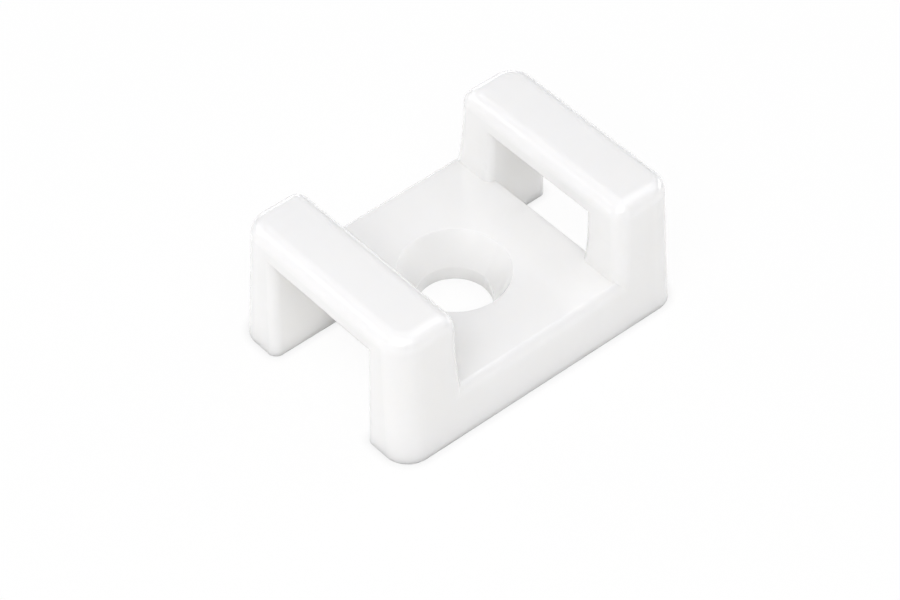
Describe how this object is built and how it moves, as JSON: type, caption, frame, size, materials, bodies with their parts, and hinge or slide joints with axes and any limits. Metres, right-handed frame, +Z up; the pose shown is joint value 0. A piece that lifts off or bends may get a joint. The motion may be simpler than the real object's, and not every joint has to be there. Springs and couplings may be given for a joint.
{
  "type": "cable tie mount",
  "caption": "Screw-down saddle mount for cable ties: a flat floor with a countersunk screw hole between raised bridges that the tie is threaded under.",
  "frame": {"origin": "on the mounting surface, under the middle of the mount", "axes": "+X along the length, from one bridge to the other; +Y across the width; +Z up, away from the mounting surface"},
  "size_m": [0.022, 0.0156, 0.0096],
  "materials": {
    "mount_plastic": "semi-gloss natural white nylon"
  },
  "bodies": {
    "root": {"mount_body": "mount_plastic"}
  },
  "joints": []
}
